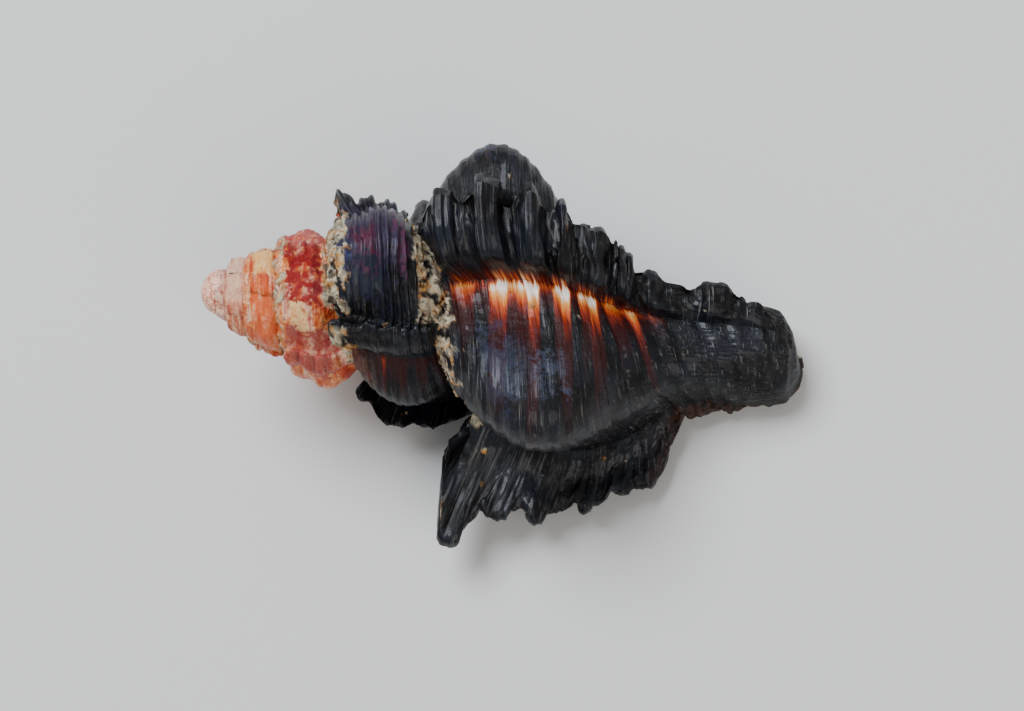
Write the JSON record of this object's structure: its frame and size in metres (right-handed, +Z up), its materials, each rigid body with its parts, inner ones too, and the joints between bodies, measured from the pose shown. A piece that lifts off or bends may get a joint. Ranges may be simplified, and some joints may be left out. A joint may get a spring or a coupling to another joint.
{
  "type": "murex shell",
  "caption": "Dark spiral sea shell with rows of curled fronds, a knobbed short spire, an open aperture underneath and a short canal.",
  "frame": {"origin": "middle of the shell's box, on the surface that the shell lies on", "axes": "+Z up, the shell lying with its aperture down; -X towards the apex, +X towards the end of the canal, -Y towards the outer lip"},
  "size_m": [0.0736, 0.0472, 0.0307],
  "materials": {
    "dark_shell": "satin"
  },
  "bodies": {
    "root": {"shell": "dark_shell"}
  },
  "joints": []
}
